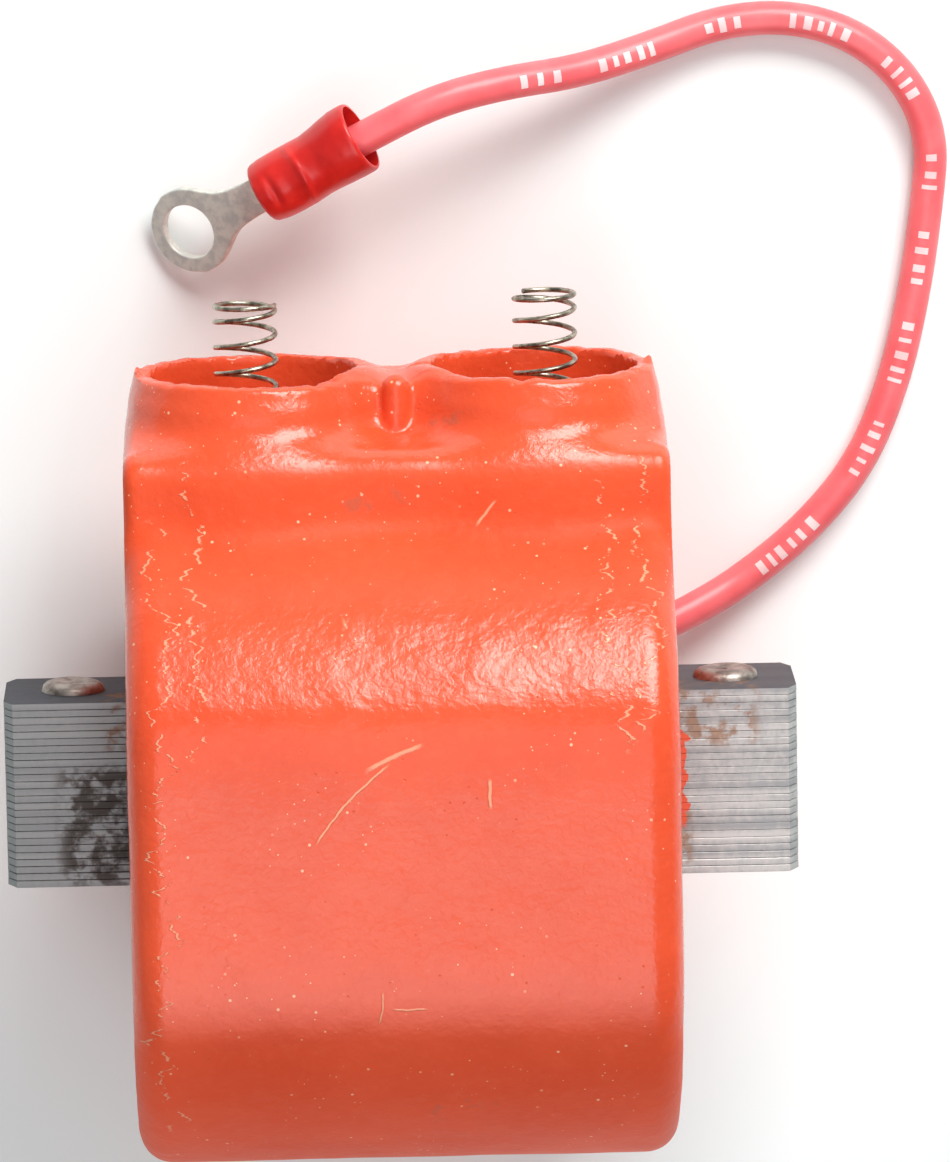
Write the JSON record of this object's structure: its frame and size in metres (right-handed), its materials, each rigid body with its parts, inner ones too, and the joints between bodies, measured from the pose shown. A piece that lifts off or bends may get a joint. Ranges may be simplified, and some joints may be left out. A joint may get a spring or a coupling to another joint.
{
  "type": "ignition coil",
  "caption": "Small-engine ignition coil: moulded body with high-tension sockets and spring contacts, a laminated core and a short lead with a ring terminal.",
  "frame": {"origin": "on the housing's flat back, straight below the core's axis, where the coil rests when it lies on its back", "axes": "+X along the core towards the side the lead leaves from, +Y towards the high-tension towers, +Z out of the flat front"},
  "size_m": [0.0845, 0.0976, 0.056],
  "materials": {
    "housing_resin": "satin moulded epoxy with fine pitting",
    "core_steel": "sheared silicon steel edges with rust stains",
    "rivet_steel": "dull upset steel",
    "paper": "impregnated paper",
    "fibre_board": "pressed fibre",
    "enamelled_copper": "enamelled wire",
    "cup_brass": "dull brass",
    "spring_steel": "drawn spring wire",
    "solder": "dull solder",
    "lead_insulation": "smooth soft vinyl",
    "tinned_terminal": "dull tin plate",
    "sleeve_vinyl": "glossy translucent vinyl"
  },
  "bodies": {
    "coil": {"coil_housing": "housing_resin", "contact_spring_left": "spring_steel", "contact_spring_right": "spring_steel", "core_laminations": "core_steel", "core_paper_tube": "paper", "core_rivets": "rivet_steel", "end_cheek_left": "fibre_board", "end_cheek_right": "fibre_board", "ground_solder": "solder", "ground_wire": "enamelled_copper", "ht_lead_left": "enamelled_copper", "ht_lead_right": "enamelled_copper", "ht_terminal_left": "cup_brass", "ht_terminal_right": "cup_brass", "lead_conductor_end": "enamelled_copper", "lead_inner": "lead_insulation", "lead_splice": "solder", "lead_wire": "lead_insulation", "outer_wrap": "paper", "primary_tail": "enamelled_copper", "primary_winding": "enamelled_copper", "primary_wrap": "paper", "ring_terminal": "tinned_terminal", "secondary_winding": "enamelled_copper", "terminal_sleeve": "sleeve_vinyl"},
    "left_contact": {"spring_tip_left": "spring_steel"},
    "right_contact": {"spring_tip_right": "spring_steel"}
  },
  "joints": [
    {"name": "left_contact_press", "type": "slide", "parent": "coil", "child": "left_contact", "axis": [0, -1, 0], "range_m": [0, 0.012], "stiffness_N_per_m": 350, "deforming": ["contact_spring_left"]},
    {"name": "right_contact_press", "type": "slide", "parent": "coil", "child": "right_contact", "axis": [0, -1, 0], "range_m": [0, 0.012], "stiffness_N_per_m": 350, "deforming": ["contact_spring_right"]}
  ]
}
